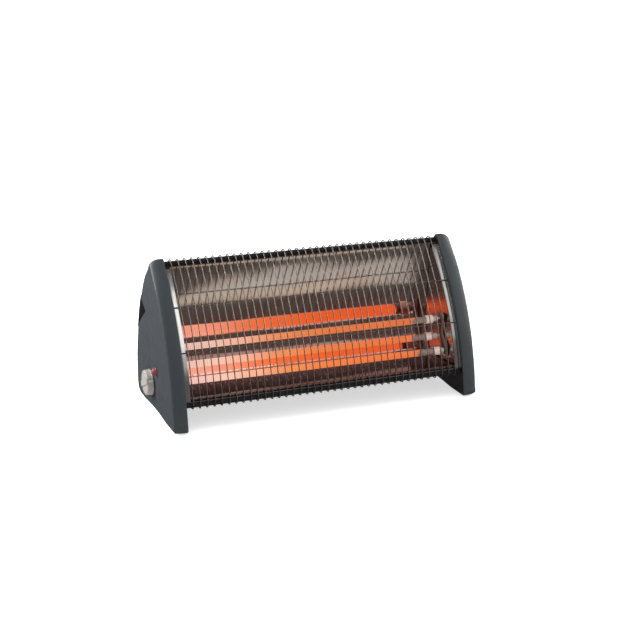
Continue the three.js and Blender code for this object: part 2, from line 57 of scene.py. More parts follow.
# ------------------------------------------------------------------ outlines (mm)
FRONT = [[0.6, 6], [2.5, 17.3], [5.3, 34.5], [8.6, 51.8], [12.7, 69], [17.5, 86.3], [23.3, 103.5],
         [30.4, 120.8], [38.4, 138], [47.5, 155.3], [57.8, 172.5], [69.5, 189.8], [82.6, 207], [97.6, 224.3],
         [105.6, 233.6], [110.4, 239.2], [114.6, 243], [118.8, 244], [123, 242.2], [127, 238]]
REAR = [[131.5, 231.8], [140, 224.3], [149.5, 215.2], [158.2, 204.6], [165.6, 193.8], [172.5, 182.9],
        [179.2, 172.3], [185.2, 162], [190.2, 151.5], [194.8, 140.3], [199.4, 128.3], [204.1, 115.5], [210, 96],
        [214.4, 79], [217.4, 63], [218.4, 46], [218.5, 28], [217.6, 16], [213.8, 8], [206, 3.2], [197, 1.5]]
BASE = [[167, 1.5], [150, 2.5], [130, 3.6], [109, 4.1], [88, 3.8], [68, 2.7], [50, 1.5], [30, 1.5], [9, 1.5], [3.2, 2.4]]
GRILLE = [[12.3, 39], [12.9, 44], [16.5, 60], [21.8, 80], [28.4, 100], [36.8, 120], [46.8, 140], [58.4, 160],
          [71.4, 180], [85.4, 200], [99.8, 219], [108.6, 230], [115.2, 237.0]]
REFL = [[115.6, 227.8], [114.75, 214], [113.95, 200], [113.33, 188], [112.78, 176], [112.34, 165], [112.0, 155],
        [111.73, 145], [111.57, 138], [111.33, 131], [110.85, 124], [110.18, 117], [109.3, 110.5], [108.05, 103.5],
        [106.3, 96], [104.0, 88], [99.9, 76], [98.6, 73], [96.95, 69.5], [93.6, 63.5], [91.3, 60], [87.5, 56.8],
        [81.5, 54.6], [72, 53], [60, 52.2], [50, 51.6], [30, 50.8], [19, 50.4]]
TUBES = [(62, 118, 0.0), (62, 89.2, 0.0), (44, 69.2, 6.0)]
GRIP = [[145.5, 154.6], [179.5, 174.6], [200, 186.7], [245, 186], [245, 92], [214, 92.5], [204.5, 113.5]]
KNOB_Y, KNOB_Z, KNOB_R, KNOB_H = 125.5, 46.5, 20.0, 12.6
LAMP_Y, LAMP_Z = 93.0, 73.5


# ------------------------------------------------------------------ curve helpers
def catmull(pts, n, closed=False):
    """A smooth line through pts, resampled to n evenly spaced points."""
    p = [np.array(q, float) for q in pts]
    m = len(p)
    out = []
    segs = m if closed else m - 1
    for i in range(segs):
        p1, p2 = p[i % m], p[(i + 1) % m]
        p0 = p[(i - 1) % m] if closed or i > 0 else 2 * p1 - p2
        p3 = p[(i + 2) % m] if closed or i < m - 2 else 2 * p2 - p1
        t0 = 0.0
        t1 = t0 + max(np.linalg.norm(p1 - p0), 1e-9) ** 0.5
        t2 = t1 + max(np.linalg.norm(p2 - p1), 1e-9) ** 0.5
        t3 = t2 + max(np.linalg.norm(p3 - p2), 1e-9) ** 0.5
        for k in range(24):
            t = t1 + (t2 - t1) * k / 24
            a1 = (t1 - t) / (t1 - t0) * p0 + (t - t0) / (t1 - t0) * p1
            a2 = (t2 - t) / (t2 - t1) * p1 + (t - t1) / (t2 - t1) * p2
            a3 = (t3 - t) / (t3 - t2) * p2 + (t - t2) / (t3 - t2) * p3
            b1 = (t2 - t) / (t2 - t0) * a1 + (t - t0) / (t2 - t0) * a2
            b2 = (t3 - t) / (t3 - t1) * a2 + (t - t1) / (t3 - t1) * a3
            out.append((t2 - t) / (t2 - t1) * b1 + (t - t1) / (t2 - t1) * b2)
    out.append(p[0] if closed else p[-1])
    out = np.array(out)
    s = np.concatenate([[0], np.cumsum(np.linalg.norm(np.diff(out, axis=0), axis=1))])
    u = np.linspace(0, s[-1], n + 1)[:-1] if closed else np.linspace(0, s[-1], n)
    return np.stack([np.interp(u, s, out[:, k]) for k in range(out.shape[1])], 1)


def area(p):
    q = np.roll(p, -1, 0)
    return 0.5 * float((p[:, 0] * q[:, 1] - q[:, 0] * p[:, 1]).sum())


def inset(p, d):
    """A closed outline moved inwards by d."""
    p = np.array(p, float)
    if area(p) < 0:
        p = p[::-1]
    e = np.roll(p, -1, 0) - p
    e /= np.maximum(np.linalg.norm(e, axis=1), 1e-9)[:, None]
    n = np.stack([-e[:, 1], e[:, 0]], 1)
    n0 = np.roll(n, 1, 0)
    m = n + n0
    m /= np.maximum(np.linalg.norm(m, axis=1), 1e-9)[:, None]
    k = d / np.maximum((m * n).sum(1), 0.5)
    return p + m * k[:, None]


def side(p, d):
    """An open line moved to its left by d."""
    p = np.array(p, float)
    t = np.gradient(p, axis=0)
    t /= np.maximum(np.linalg.norm(t, axis=1), 1e-9)[:, None]
    return p + np.stack([-t[:, 1], t[:, 0]], 1) * d


# ------------------------------------------------------------------ mesh helpers
def new_object(name, bm, material, smooth=35.0, body="heater"):
    bmesh.ops.remove_doubles(bm, verts=bm.verts, dist=1e-7)
    bmesh.ops.recalc_face_normals(bm, faces=bm.faces)
    me = bpy.data.meshes.new(name)
    bm.to_mesh(me)
    bm.free()
    ob = bpy.data.objects.new(name, me)
    bpy.context.scene.collection.objects.link(ob)
    finish_mesh(ob, smooth)
    if material:
        me.materials.append(material)
    if body:
        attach(ob, body)
    return ob


def finish_mesh(ob, smooth):
    me = ob.data
    for f in me.polygons:
        f.use_smooth = True
    bm = bmesh.new()
    bm.from_mesh(me)
    for e in bm.edges:
        e.smooth = not (len(e.link_faces) == 2 and e.calc_face_angle(0) > math.radians(smooth))
    bm.to_mesh(me)
    bm.free()


def loft(bm, rings, closed=True, cap0=True, cap1=True):
    """Quads between rings of equal count, given in working millimetres as (x, y, z)."""
    vs = [[bm.verts.new(P(*q)) for q in r] for r in rings]
    n = len(rings[0])
    for a, b in zip(vs[:-1], vs[1:]):
        for i in range(n if closed else n - 1):
            j = (i + 1) % n
            bm.faces.new((a[i], a[j], b[j], b[i]))
    if closed and cap0:
        bm.faces.new(vs[0][::-1])
    if closed and cap1:
        bm.faces.new(vs[-1])
    return vs


def slab(bm, outline, x0, x1, edge=0.0):
    """YZ outline pushed along X with its two rims rounded by edge."""
    o = np.array(outline, float)
    s = 1 if x1 > x0 else -1
    rings = []
    steps = 3 if edge > 0 else 0
    for k in range(steps + 1):
        a = math.pi / 2 * k / max(steps, 1)
        rings.append((x0 + s * edge * (1 - math.sin(a)), edge * (1 - math.cos(a)) if edge else 0.0))
    rings = rings if edge == 0 else [(x0 + s * edge * (1 - math.sin(t)), edge * (1 - math.cos(t))) for t in np.linspace(math.pi / 2, 0, steps + 1)]
    ends = [(x1 - (x - x0), d) for x, d in rings][::-1]
    allr = []
    for x, d in rings + ends:
        q = inset(o, d) if d > 1e-9 else (o if area(o) > 0 else o[::-1])
        allr.append([(x, y, z) for y, z in q])
    loft(bm, allr)


def lathe_x(bm, profile, cy, cz, seg=48, closed=False):
    """Turned about an axis along X. profile is [x, r]; it closes on itself when closed is set."""
    rings = []
    for x, r in profile:
        rings.append([(x, cy + max(r, 0.0) * math.cos(2 * math.pi * i / seg), cz + max(r, 0.0) * math.sin(2 * math.pi * i / seg)) for i in range(seg)])
    if closed:
        rings.append(rings[0])
    loft(bm, rings, cap0=not closed, cap1=not closed)


def round_profile(pts, r, seg=3):
    """Rounds the inner corners of an open profile by r."""
    p = [np.array(q, float) for q in pts]
    out = [p[0]]
    for a, b, c in zip(p[:-2], p[1:-1], p[2:]):
        l1, l2 = np.linalg.norm(a - b), np.linalg.norm(c - b)
        d = min(r, l1 * 0.45, l2 * 0.45)
        s, e = b + (a - b) / max(l1, 1e-9) * d, b + (c - b) / max(l2, 1e-9) * d
        for k in range(seg + 1):
            t = k / seg
            out.append((1 - t) ** 2 * s + 2 * t * (1 - t) * b + t * t * e)
    out.append(p[-1])
    return [list(map(float, q)) for q in out]


def wire(bm, pts, r, sides=8, ends=True):
    """A round wire along 3D points in working millimetres."""
    p = np.array(pts, float)
    t = np.gradient(p, axis=0)
    t /= np.linalg.norm(t, axis=1)[:, None]
    ref = np.array([1.0, 0, 0]) if abs(t[0][0]) < 0.9 else np.array([0, 0, 1.0])
    u = ref - t[0] * (ref @ t[0])
    u /= np.linalg.norm(u)
    rings = []
    for q, d in zip(p, t):
        u = u - d * (u @ d)
        u /= np.linalg.norm(u)
        v = np.cross(d, u)
        rings.append([q + r * (math.cos(2 * math.pi * i / sides) * u + math.sin(2 * math.pi * i / sides) * v) for i in range(sides)])
    if ends:
        a = [rings[0][i] * 0.45 + p[0] * 0.55 - t[0] * r * 0.55 for i in range(sides)]
        b = [rings[-1][i] * 0.45 + p[-1] * 0.55 + t[-1] * r * 0.55 for i in range(sides)]
        rings = [a] + rings + [b]
    loft(bm, rings)


def box(bm, x0, x1, y0, y1, z0, z1, edge=0.6):
    slab(bm, [[y0, z0], [y1, z0], [y1, z1], [y0, z1]], x0, x1, edge)


def mirror_x(ob, name):
    me = ob.data.copy()
    me.name = name
    bm = bmesh.new()
    bm.from_mesh(me)
    for v in bm.verts:
        v.co.x = 2 * SX / 1000.0 - v.co.x
    bmesh.ops.reverse_faces(bm, faces=bm.faces)
    bm.to_mesh(me)
    bm.free()
    o = bpy.data.objects.new(name, me)
    bpy.context.scene.collection.objects.link(o)
    return o


def boolean(ob, cutters, op="DIFFERENCE"):
    """Cuts ob with other objects and bakes the result into its mesh."""
    for c in cutters:
        m = ob.modifiers.new("cut", "BOOLEAN")
        m.operation = op
        m.solver = "EXACT"
        m.object = c
    bake(ob)
    for c in cutters:
        bpy.data.objects.remove(c)


def bake(ob):
    dg = bpy.context.evaluated_depsgraph_get()
    me = bpy.data.meshes.new_from_object(ob.evaluated_get(dg))
    ob.modifiers.clear()
    old = ob.data
    ob.data = me
    me.name = old.name
    bpy.data.meshes.remove(old)


def bevel(ob, width, seg=2, angle=35.0):
    m = ob.modifiers.new("edge", "BEVEL")
    m.width = width / 1000.0
    m.segments = seg
    m.limit_method = "ANGLE"
    m.angle_limit = math.radians(angle)
    m.harden_normals = False
    return m


def plain(name, bm):
    """An object with no body, used to cut another."""
    bmesh.ops.remove_doubles(bm, verts=bm.verts, dist=1e-7)
    bmesh.ops.recalc_face_normals(bm, faces=bm.faces)
    me = bpy.data.meshes.new(name)
    bm.to_mesh(me)
    bm.free()
    o = bpy.data.objects.new(name, me)
    bpy.context.scene.collection.objects.link(o)
    return o


# ------------------------------------------------------------------ material helpers
class Mat:
    def __init__(self, name, base, rough=0.5, metal=0.0, **sockets):
        self.m = bpy.data.materials.new(name)
        self.m.use_nodes = True
        self.t = self.m.node_tree
        self.b = self.t.nodes["Principled BSDF"]
        self.b.inputs["Base Color"].default_value = (*base, 1)
        self.b.inputs["Roughness"].default_value = rough
        self.b.inputs["Metallic"].default_value = metal
        for k, v in sockets.items():
            self.b.inputs[k.replace("_", " ")].default_value = v
        self.tc = self.t.nodes.new("ShaderNodeTexCoord")
        self.co = self.tc.outputs["Object"]

    def node(self, kind, **attrs):
        n = self.t.nodes.new(kind)
        for k, v in attrs.items():
            setattr(n, k, v)
        return n

    def link(self, a, b):
        self.t.links.new(a, b)

    def mapped(self, scale=(1, 1, 1), loc=(0, 0, 0), rot=(0, 0, 0)):
        n = self.node("ShaderNodeMapping")
        n.inputs["Scale"].default_value = scale
        n.inputs["Location"].default_value = loc
        n.inputs["Rotation"].default_value = rot
        self.link(self.co, n.inputs["Vector"])
        return n.outputs["Vector"]

    def noise(self, scale, detail=3.0, rough=0.5, vec=None, dist=0.0):
        n = self.node("ShaderNodeTexNoise")
        n.inputs["Scale"].default_value = scale
        n.inputs["Detail"].default_value = detail
        n.inputs["Roughness"].default_value = rough
        n.inputs["Distortion"].default_value = dist
        self.link(vec or self.co, n.inputs["Vector"])
        return n.outputs["Fac"]

    def ramp(self, fac, stops, mode="LINEAR"):
        n = self.node("ShaderNodeValToRGB")
        n.color_ramp.interpolation = mode
        e = n.color_ramp.elements
        while len(e) > 1:
            e.remove(e[-1])
        e[0].position = stops[0][0]
        e[0].color = (*stops[0][1], 1) if len(stops[0][1]) == 3 else stops[0][1]
        for pos, c in stops[1:]:
            q = e.new(pos)
            q.color = (*c, 1) if len(c) == 3 else c
        self.link(fac, n.inputs["Fac"])
        return n.outputs["Color"]

    def range(self, fac, a, b, c, d, clamp=True, smooth=False):
        n = self.node("ShaderNodeMapRange")
        n.clamp = clamp
        n.interpolation_type = "SMOOTHSTEP" if smooth else "LINEAR"
        for i, v in enumerate((a, b, c, d)):
            n.inputs[i + 1].default_value = v
        self.link(fac, n.inputs[0])
        return n.outputs[0]

    def math(self, op, a, b=None):
        n = self.node("ShaderNodeMath", operation=op)
        for i, v in enumerate((a, b)):
            if v is None:
                continue
            if isinstance(v, (int, float)):
                n.inputs[i].default_value = v
            else:
                self.link(v, n.inputs[i])
        return n.outputs[0]

    def mix(self, fac, a, b):
        n = self.node("ShaderNodeMix", data_type="RGBA")
        for sock, v in ((n.inputs[0], fac), (n.inputs[6], a), (n.inputs[7], b)):
            if isinstance(v, tuple):
                sock.default_value = (*v, 1) if len(v) == 3 else v
            elif isinstance(v, (int, float)):
                sock.default_value = v
            else:
                self.link(v, sock)
        return n.outputs[2]

    def xyz(self, vec=None):
        n = self.node("ShaderNodeSeparateXYZ")
        self.link(vec or self.co, n.inputs[0])
        return n.outputs

    def bump(self, height, strength, distance, after=None):
        n = self.node("ShaderNodeBump")
        n.inputs["Strength"].default_value = strength
        n.inputs["Distance"].default_value = distance
        self.link(height, n.inputs["Height"])
        if after:
            self.link(after, n.inputs["Normal"])
        self.link(n.outputs[0], self.b.inputs["Normal"])
        return n.outputs[0]

    def colour(self, out):
        self.link(out, self.b.inputs["Base Color"])
        return self

    def rough(self, out):
        self.link(out, self.b.inputs["Roughness"])
        return self


def tone(c, k):
    return tuple(max(0.0, min(1.0, v * k)) for v in c)


def moulded(name, base, rough, grain=0.12, grain_scale=2600.0, spec=0.4, vary=0.10, tint=None):
    """Moulded plastic: fine spark-eroded grain, faint flow marks and slightly uneven gloss."""
    m = Mat(name, base, rough)
    m.b.inputs["Specular IOR Level"].default_value = spec
    big = m.noise(14.0, 3.0, 0.55)
    mid = m.noise(120.0, 2.0, 0.5)
    f = m.math("ADD", m.math("MULTIPLY", big, 0.7), m.math("MULTIPLY", mid, 0.3))
    m.colour(m.ramp(f, [(0.3, tone(base, 1 - vary)), (0.5, base), (0.7, tint or tone(base, 1 + vary))]))
    m.rough(m.range(m.noise(60.0, 4.0, 0.6), 0.3, 0.7, rough - 0.06, rough + 0.07))
    h1 = m.bump(m.noise(grain_scale, 2.0, 0.6), grain, 0.00012)
    m.bump(m.noise(9.0, 1.0, 0.4), 0.05, 0.004, after=h1)
    return m


def painted(name, base, rough, spec=0.5):
    """Baked paint on steel sheet: light orange peel and small tone changes."""
    m = Mat(name, base, rough)
    m.b.inputs["Specular IOR Level"].default_value = spec
    f = m.noise(22.0, 4.0, 0.6)
    m.colour(m.ramp(f, [(0.3, tone(base, 0.8)), (0.55, base), (0.75, tone(base, 1.35))]))
    m.rough(m.range(m.noise(90.0, 3.0, 0.6), 0.3, 0.7, rough - 0.07, rough + 0.08))
    m.bump(m.noise(650.0, 2.0, 0.5), 0.10, 0.0002)
    return m


def metal(name, base, rough, brushed=None, spots=0.06):
    """Bare metal with fine drawn lines or a faint mottle."""
    m = Mat(name, base, rough, 1.0)
    if brushed:
        v = m.mapped(scale=brushed)
        lines = m.noise(1.0, 3.0, 0.6, vec=v)
        m.rough(m.range(lines, 0.25, 0.75, max(0.03, rough - 0.08), rough + 0.1))
        m.bump(lines, 0.08, 0.0002)
    else:
        m.rough(m.range(m.noise(300.0, 3.0, 0.6), 0.3, 0.7, max(0.03, rough - 0.07), rough + 0.08))
        m.bump(m.noise(900.0, 2.0, 0.5), 0.05, 0.0001)
    f = m.noise(45.0, 3.0, 0.6)
    m.colour(m.ramp(f, [(0.3, tone(base, 1 - spots)), (0.7, tone(base, 1 + spots))]))
    return m


# ------------------------------------------------------------------ materials
CAP = moulded("cap_plastic", (0.0275, 0.0335, 0.038), 0.50, grain=0.18, vary=0.03, tint=(0.029, 0.035, 0.0395))
BLACKP = moulded("black_plastic", (0.026, 0.028, 0.029), 0.55, grain=0.3)
BLACKS = painted("black_steel", (0.0085, 0.008, 0.0085), 0.46)
STRIP = metal("reflector_end_sheet", (0.86, 0.86, 0.85), 0.16, brushed=(900.0, 40.0, 40.0), spots=0.03)
WIRE = metal("grille_wire", (0.29, 0.272, 0.256), 0.42, spots=0.08)
# painted shade: the wires' colour turns dark where they bend over the top edge
wx, wy, wz = WIRE.xyz()
wire_top_painted_shade = WIRE.math("ADD", WIRE.math("MULTIPLY", wz, 4.0), WIRE.math("MULTIPLY", WIRE.noise(60.0, 3.0, 0.6), 0.02))
WIRE.colour(WIRE.ramp(wire_top_painted_shade, [(0.3, (0.28, 0.262, 0.248)), (0.90, (0.29, 0.272, 0.256)), (0.945, (0.13, 0.122, 0.116))]))
KNOBM = moulded("knob_plastic", (0.235, 0.218, 0.20), 0.42, grain=0.12, vary=0.05)
RUBBER = moulded("foot_rubber", (0.018, 0.018, 0.019), 0.8, grain=0.5, spec=0.25)
BRASS = metal("terminal_brass", (0.34, 0.22, 0.14), 0.45)
SCALED = moulded("heat_scaled_sheet", (0.24, 0.14, 0.12), 0.55, grain=0.3, vary=0.25)
STEEL = metal("fitting_steel", (0.62, 0.62, 0.63), 0.32, brushed=(60.0, 900.0, 900.0))
SWITCH = moulded("switch_plastic", (0.22, 0.055, 0.035), 0.5)
INSUL = moulded("insulator", (0.62, 0.57, 0.49), 0.75, grain=0.3)

CERAMIC = moulded("ceramic", (0.74, 0.56, 0.49), 0.5, grain=0.35, vary=0.06)
NECK = moulded("ceramic_neck", (0.42, 0.40, 0.37), 0.3, grain=0.2, vary=0.12)


def make_lead():
    m = Mat("lead_insulation", (0.22, 0.16, 0.13), 0.8)
    w = m.node("ShaderNodeTexWave", wave_type="BANDS")
    w.inputs["Scale"].default_value = 260.0
    w.inputs["Distortion"].default_value = 2.0
    m.link(m.co, w.inputs["Vector"])
    m.colour(m.ramp(w.outputs["Fac"], [(0.2, (0.18, 0.13, 0.105)), (0.8, (0.27, 0.20, 0.165))]))
    m.bump(w.outputs["Fac"], 0.4, 0.0003)
    return m


LEAD = make_lead()


def make_reflector(name, warm):
    """Thin polished aluminium behind the tubes, coppery where they heat it and greyer above, with painted reflection in
    its height bands.
    """
    m = Mat(name, (0.62, 0.52, 0.47), 0.05, 1.0)
    x, y, z = m.xyz()
    heat = m.noise(9.0, 3.0, 0.6, vec=m.mapped(scale=(0.7, 1.0, 1.6)))
    # colour bands by height: a heat tint plus painted reflection, brighter and redder where the tubes' glow is
    # mirrored, dark along the bottom front lip
    heat_tint_and_painted_reflection = m.ramp(m.math("MULTIPLY", z, 4.0), [(0.2035, (0.17, 0.15, 0.165)), (0.209, (0.88, 0.74, 0.80)), (0.228, (0.94, 0.72, 0.72)), (0.26, (0.90, 0.58, 0.52)), (0.54, (0.92, 0.53, 0.44)),
                    (0.62, (0.72, 0.60, 0.54)), (0.70, (0.74, 0.68, 0.64)), (0.94, (0.66, 0.57, 0.48))])
    m.colour(m.mix(m.range(heat, 0.35, 0.75, 0.0, warm), heat_tint_and_painted_reflection, (0.50, 0.33, 0.25)))
    m.rough(m.math("ADD", m.range(m.noise(40.0, 3.0, 0.6), 0.25, 0.75, 0.03, 0.06), m.range(z, 0.155, 0.185, 0.0, 0.045, smooth=True)))
    m.bump(m.noise(140.0, 1.0, 0.4), 0.04, 0.0002)
    return m


REFLECTOR = make_reflector("reflector_sheet", 0.35)


def make_tube(name, seed, end):
    """Quartz tube lit from inside by its coil: fine bright rings along it, paler at the near end."""
    m = Mat(name, (0.05, 0.03, 0.02), 0.14)
    x, y, z = m.xyz()
    start = (-HALF + 1.0 + SX) / 1000.0
    t = m.range(x, start, end, 0.0, 1.0)
    wob = m.math("ADD", t, m.math("MULTIPLY", m.math("SUBTRACT", m.noise(22.0 + 3 * seed, 2.0), 0.5), 0.10))
    col = m.ramp(wob, [(0.0, (0.78, 0.46, 0.40)), (0.14, (0.87, 0.52, 0.42)), (0.27, (0.90, 0.42, 0.27)),
                       (0.42, (0.82, 0.24, 0.075)), (0.60, (0.80, 0.175, 0.034)), (0.85, (0.77, 0.15, 0.028)), (1.0, (0.74, 0.145, 0.032))])
    m.link(col, m.b.inputs["Emission Color"])
    w = m.node("ShaderNodeTexWave", wave_type="BANDS", bands_direction="X")
    w.inputs["Scale"].default_value = 95.0
    w.inputs["Distortion"].default_value = 0.6
    w.inputs["Detail Scale"].default_value = 2.0
    m.link(m.mapped(loc=(seed * 0.013, 0, 0)), w.inputs["Vector"])
    flick = m.math("ADD", m.range(w.outputs["Fac"], 0.0, 1.0, 0.78, 1.04), m.math("MULTIPLY", m.noise(30.0, 2.0), 0.16))
    # the glow reaches further along the side that faces the reflector
    yt = (TUBES[seed][0] + SY) / 1000.0
    slant = m.math("SUBTRACT", x, m.math("MULTIPLY", m.math("SUBTRACT", y, yt), 1.6))
    on = m.range(slant, end - 0.002, end + 0.003, 1.0, 0.0, smooth=True)
    rear = m.range(y, yt - 0.0008, yt + 0.003, 1.0, 1.27, smooth=True)
    m.link(m.math("MULTIPLY", m.math("MULTIPLY", m.math("MULTIPLY", flick, on), rear), (0.93, 1.03, 1.08)[seed]), m.b.inputs["Emission Strength"])
    m.colour(m.mix(on, (0.24, 0.17, 0.15), (0.05, 0.03, 0.02)))
    m.b.inputs["IOR"].default_value = 1.46
    m.bump(m.noise(400.0, 2.0), 0.05, 0.0002)
    return m


TUBE_MATS = []
for k_, (ty_, tz_, dx_) in enumerate(TUBES):
    TUBE_MATS.append(make_tube(f"quartz_lit_{k_ + 1}", k_, (HALF - 61.0 + dx_ * 0.4 + SX) / 1000.0))


def make_coil():
    m = Mat("coil_wire", (0.25, 0.12, 0.08), 0.5, 0.6)
    x, y, z = m.xyz()
    m.link(m.ramp(m.noise(60.0, 2.0), [(0.3, (1.0, 0.30, 0.07)), (0.7, (1.0, 0.45, 0.14))]), m.b.inputs["Emission Color"])
    on = m.range(x, (HALF - 66 + SX) / 1000.0, (HALF - 60 + SX) / 1000.0, 2.5, 0.0)
    m.link(on, m.b.inputs["Emission Strength"])
    return m


COIL = make_coil()


def make_lamp():
    m = Mat("lamp_lens", (0.14, 0.02, 0.032), 0.48)
    m.b.inputs["Coat Weight"].default_value = 0.08
    m.b.inputs["Coat Roughness"].default_value = 0.3
    x, y, z = m.xyz()
    f = m.noise(500.0, 2.0)
    m.colour(m.ramp(f, [(0.3, (0.10, 0.020, 0.028)), (0.7, (0.16, 0.030, 0.042))]))
    m.link(m.ramp(m.noise(260.0, 1.0), [(0.3, (0.5, 0.01, 0.02)), (0.7, (0.9, 0.04, 0.06))]), m.b.inputs["Emission Color"])
    m.b.inputs["Emission Strength"].default_value = 0.04
    m.bump(f, 0.1, 0.0003)
    return m


LAMP = make_lamp()


def assign(node, mat):
    o = N[node]
    o.data.materials.clear()
    o.data.materials.append(mat.m)
    return o


# ------------------------------------------------------------------ camera and stage
cam_data = bpy.data.cameras.new("camera")
cam_data.sensor_width = 36.0
cam_data.lens = 79.86
cam_data.clip_end = 100.0
cam = bpy.data.objects.new("camera", cam_data)
bpy.context.scene.collection.objects.link(cam)
R_ = Vector((0.93056, -0.36612, 0.00253)).normalized()
F_ = Vector((0.35133, 0.89099, -0.28758)).normalized()
U_ = R_.cross(F_).normalized()
cam.matrix_world = Matrix(((R_.x, U_.x, -F_.x, -0.7694), (R_.y, U_.y, -F_.y, -2.0261), (R_.z, U_.z, -F_.z, 0.7757), (0, 0, 0, 1)))
bpy.context.scene.camera = cam
CAM = cam.matrix_world.translation.copy()


def stage_material(name, col, rough):
    m = bpy.data.materials.new(name)
    m.use_nodes = True
    t = m.node_tree
    b = t.nodes["Principled BSDF"]
    b.inputs["Roughness"].default_value = rough
    b.inputs["Specular IOR Level"].default_value = 0.2
    n = t.nodes.new("ShaderNodeTexNoise")
    n.inputs["Scale"].default_value = 3.0
    c = t.nodes.new("ShaderNodeValToRGB")
    c.color_ramp.elements[0].color = (*tone(col, 0.985), 1)
    c.color_ramp.elements[1].color = (*tone(col, 1.0), 1)
    t.links.new(n.outputs["Fac"], c.inputs["Fac"])
    t.links.new(c.outputs["Color"], b.inputs["Base Color"])
    return m


bm = bmesh.new()
bmesh.ops.create_grid(bm, x_segments=8, y_segments=8, size=14.0)
floor = plain("floor", bm)
floor.data.materials.append(stage_material("floor_pale", (0.74, 0.74, 0.74), 0.7))
floor.data.materials[0].node_tree.nodes["Principled BSDF"].inputs["Emission Color"].default_value = (1, 1, 1, 1)
floor.data.materials[0].node_tree.nodes["Principled BSDF"].inputs["Emission Strength"].default_value = 0.60
floor.location = (0, 0, -0.0004)
floor.visible_glossy = False

world = bpy.data.worlds.new("studio")
bpy.context.scene.world = world
world.use_nodes = True
wt = world.node_tree
for n_ in list(wt.nodes):
    wt.nodes.remove(n_)
w_out = wt.nodes.new("ShaderNodeOutputWorld")
w_mix = wt.nodes.new("ShaderNodeMixShader")
w_soft = wt.nodes.new("ShaderNodeBackground")
w_dark = wt.nodes.new("ShaderNodeBackground")
w_path = wt.nodes.new("ShaderNodeLightPath")
w_soft.inputs["Color"].default_value = (1.0, 1.0, 1.0, 1)
w_soft.inputs["Strength"].default_value = 1.0
w_dark.inputs["Color"].default_value = (0.095, 0.086, 0.085, 1)
w_dark.inputs["Strength"].default_value = 1.0
wt.links.new(w_path.outputs["Is Glossy Ray"], w_mix.inputs[0])
wt.links.new(w_soft.outputs[0], w_mix.inputs[1])
wt.links.new(w_dark.outputs[0], w_mix.inputs[2])
wt.links.new(w_mix.outputs[0], w_out.inputs[0])


def area_light(name, loc, target, size, power, colour=(1, 1, 1), spread=180.0, shine=True):
    d = bpy.data.lights.new(name, "AREA")
    d.shape = "RECTANGLE"
    d.size, d.size_y = size
    d.energy = power
    d.color = colour
    d.spread = math.radians(spread)
    o = bpy.data.objects.new(name, d)
    bpy.context.scene.collection.objects.link(o)
    o.location = loc
    o.rotation_mode = "QUATERNION"
    o.rotation_quaternion = (Vector(target) - Vector(loc)).to_track_quat("-Z", "Y")
    o.visible_camera = False
    o.visible_glossy = shine
    return o


area_light("soft_left", (-1.05, 0.40, 0.78), (-0.24, 0, 0.15), (0.7, 0.7), 27.0)
area_light("soft_right", (2.4, 0.05, 1.2), (0, 0, 0.12), (1.2, 1.6), 30.0, shine=False)
area_light("soft_top", (0.0, -0.1, 2.4), (0, 0, 0.1), (2.6, 1.6), 14.0, shine=False)

# soft panel that the upper part of the reflector mirrors: its corners are reflected camera rays
def mirrored_corner(x, z, dist):
    zs = np.array([p[1] for p in REFL][::-1])
    ys = np.array([p[0] for p in REFL][::-1])
    y = float(np.interp(z, zs, ys))
    slope = (float(np.interp(z + 3, zs, ys)) - float(np.interp(z - 3, zs, ys))) / 6.0
    nrm = Vector((0, -1, slope)).normalized()
    p = Vector(P(x, y, z))
    d = (p - CAM).normalized()
    r = d - 2 * d.dot(nrm) * nrm
    return p + r * dist


def card(name, corners, lo, hi, strength, scale=2.5):
    """A softly uneven lit panel that only mirrors see."""
    bm = bmesh.new()
    bm.faces.new([bm.verts.new(c) for c in corners])
    o = plain(name, bm)
    m = bpy.data.materials.new(name)
    m.use_nodes = True
    t = m.node_tree
    b = t.nodes["Principled BSDF"]
    b.inputs["Base Color"].default_value = (0, 0, 0, 1)
    b.inputs["Specular IOR Level"].default_value = 0.0
    n = t.nodes.new("ShaderNodeTexNoise")
    n.inputs["Scale"].default_value = scale
    c = t.nodes.new("ShaderNodeValToRGB")
    c.color_ramp.elements[0].color = (*lo, 1)
    c.color_ramp.elements[1].color = (*hi, 1)
    t.links.new(n.outputs["Fac"], c.inputs["Fac"])
    t.links.new(c.outputs["Color"], b.inputs["Emission Color"])
    b.inputs["Emission Strength"].default_value = strength
    o.data.materials.append(m)
    for v in ("camera", "diffuse", "shadow", "transmission", "volume_scatter"):
        setattr(o, "visible_" + v, False)
    return o


card("reflected_softbox", [mirrored_corner(x, z, 1.2) for x, z in ((-211, 179), (-81, 182), (0, 187), (44, 190), (90, 183), (160, 172), (182, 173), (185, 210), (110, 211), (48, 211), (-40, 219), (-139, 228))],
     (0.66, 0.65, 0.63), (0.80, 0.79, 0.78), 0.84)
card("reflected_dim_wall", [mirrored_corner(x, z, 1.5) for x, z in ((-236, 180), (-206, 180), (-120, 205), (100, 205), (187, 172), (240, 172), (240, 238), (-236, 238))],
     (0.30, 0.25, 0.20), (0.40, 0.34, 0.28), 2.1)
card("strip_light_low", [(0.10, -1.80, 0.60), (1.70, -1.40, 0.60), (1.70, -1.15, 1.02), (0.10, -1.68, 1.02)], (0.38, 0.37, 0.36), (0.46, 0.45, 0.44), 1.0)
card("strip_light", [(0.10, -1.68, 1.02), (0.58, -1.61, 1.02), (0.58, -0.98, 1.76), (0.10, -1.05, 1.76)], (0.95, 0.94, 0.92), (1.0, 0.99, 0.97), 1.2)
card("strip_light_far", [(0.585, -1.61, 1.02), (1.85, -1.25, 1.02), (1.85, -0.75, 1.76), (0.585, -0.98, 1.76)], (0.50, 0.50, 0.49), (0.56, 0.56, 0.55), 1.15)
